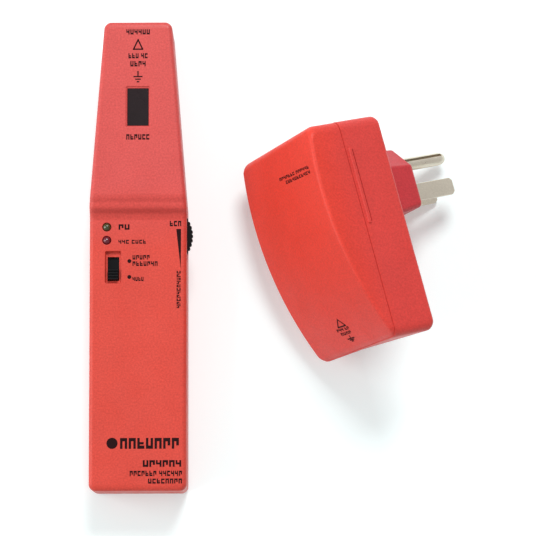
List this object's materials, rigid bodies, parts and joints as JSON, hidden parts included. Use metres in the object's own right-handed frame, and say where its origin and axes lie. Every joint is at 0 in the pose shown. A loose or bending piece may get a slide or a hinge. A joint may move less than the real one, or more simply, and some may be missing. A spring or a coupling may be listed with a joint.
{
  "type": "circuit breaker finder",
  "caption": "Hand-held circuit breaker finder lying on its back, with sensor tip, mode switch and sensitivity wheel, beside its plug-in transmitter with a grounded plug.",
  "frame": {"origin": "centre of the receiver's back face, on the surface that it lies on", "axes": "+Z out of the receiver's front face, +Y towards its sensor tip, +X towards the thumbwheel side and the transmitter"},
  "size_m": [0.134, 0.171, 0.0613],
  "materials": {
    "red_case": "fine moulded texture",
    "red_cover": "fine moulded texture",
    "black_plastic": "satin",
    "smoked_window": "polished",
    "green_lens": "clear moulded",
    "red_lens": "clear moulded",
    "nickel": "nickel plated",
    "zinc": "zinc plated",
    "circuit_board": "solder mask",
    "ferrite": "ground",
    "bobbin_nylon": "moulded",
    "copper_wire": "enamelled",
    "chip_epoxy": "moulded",
    "blue_sleeve": "heat shrunk",
    "resistor_body": "lacquered",
    "battery_jacket": "printed steel",
    "black_vinyl": "soft",
    "red_insulation": "smooth",
    "black_insulation": "smooth",
    "white_insulation": "smooth",
    "green_insulation": "smooth",
    "foam": "open cell",
    "yellow_film": "dipped epoxy",
    "fuse_glass": "clear"
  },
  "bodies": {
    "receiver": {"front_case": "red_case", "back_case": "red_case", "signal_window": "smoked_window", "signal_lamp": "red_lens", "power_lamp": "green_lens", "low_battery_lamp": "red_lens", "lamp_legs": "nickel", "switch_frame": "zinc", "switch_pins": "nickel", "potentiometer_body": "blue_sleeve", "potentiometer_pins": "nickel", "receiver_board": "circuit_board", "ferrite_rod": "ferrite", "coil_bobbin": "bobbin_nylon", "coil_winding": "copper_wire", "coil_leads": "copper_wire", "buzzer": "black_plastic", "receiver_chips": "chip_epoxy", "receiver_capacitors": "blue_sleeve", "receiver_resistors": "resistor_body", "battery": "battery_jacket", "battery_terminals": "nickel", "battery_snap": "black_vinyl", "red_battery_lead": "red_insulation", "black_battery_lead": "black_insulation", "battery_pad": "foam", "case_screws": "zinc", "board_screws": "zinc"},
    "switch": {"switch_knob": "black_plastic"},
    "wheel": {"thumbwheel": "black_plastic", "thumbwheel_screw": "zinc", "potentiometer_shaft": "nickel"},
    "door": {"battery_door": "red_case"},
    "transmitter": {"transmitter_front_cover": "red_cover", "transmitter_rear_case": "red_cover", "neutral_blade": "nickel", "hot_blade": "nickel", "ground_pin": "nickel", "prong_plate": "black_plastic", "transmitter_board": "circuit_board", "film_capacitor": "yellow_film", "electrolytic_capacitor": "blue_sleeve", "power_resistors": "resistor_body", "pulse_transistor": "chip_epoxy", "timer_chip": "chip_epoxy", "glass_fuse": "fuse_glass", "fuse_clips": "nickel", "hot_lead": "black_insulation", "neutral_lead": "white_insulation", "ground_lead": "green_insulation", "transmitter_screws": "zinc", "transmitter_board_screws": "zinc"}
  },
  "joints": [
    {"name": "mode_switch_slide", "type": "slide", "parent": "receiver", "child": "switch", "axis": [0, 1, 0], "range_m": [0, 0.0043]},
    {"name": "sensitivity_turn", "type": "hinge", "parent": "receiver", "child": "wheel", "pos_m": [0.0081, 0.00745, 0.0185], "axis": [0, 0, 1], "range_deg": [0, 270]},
    {"name": "battery_door_slide", "type": "slide", "parent": "receiver", "child": "door", "axis": [0, -1, 0], "range_m": [0, 0.06]},
    {"name": "transmitter_lift", "type": "slide", "parent": "receiver", "child": "transmitter", "axis": [0, 0, 1], "range_m": [0, 0.1]}
  ]
}
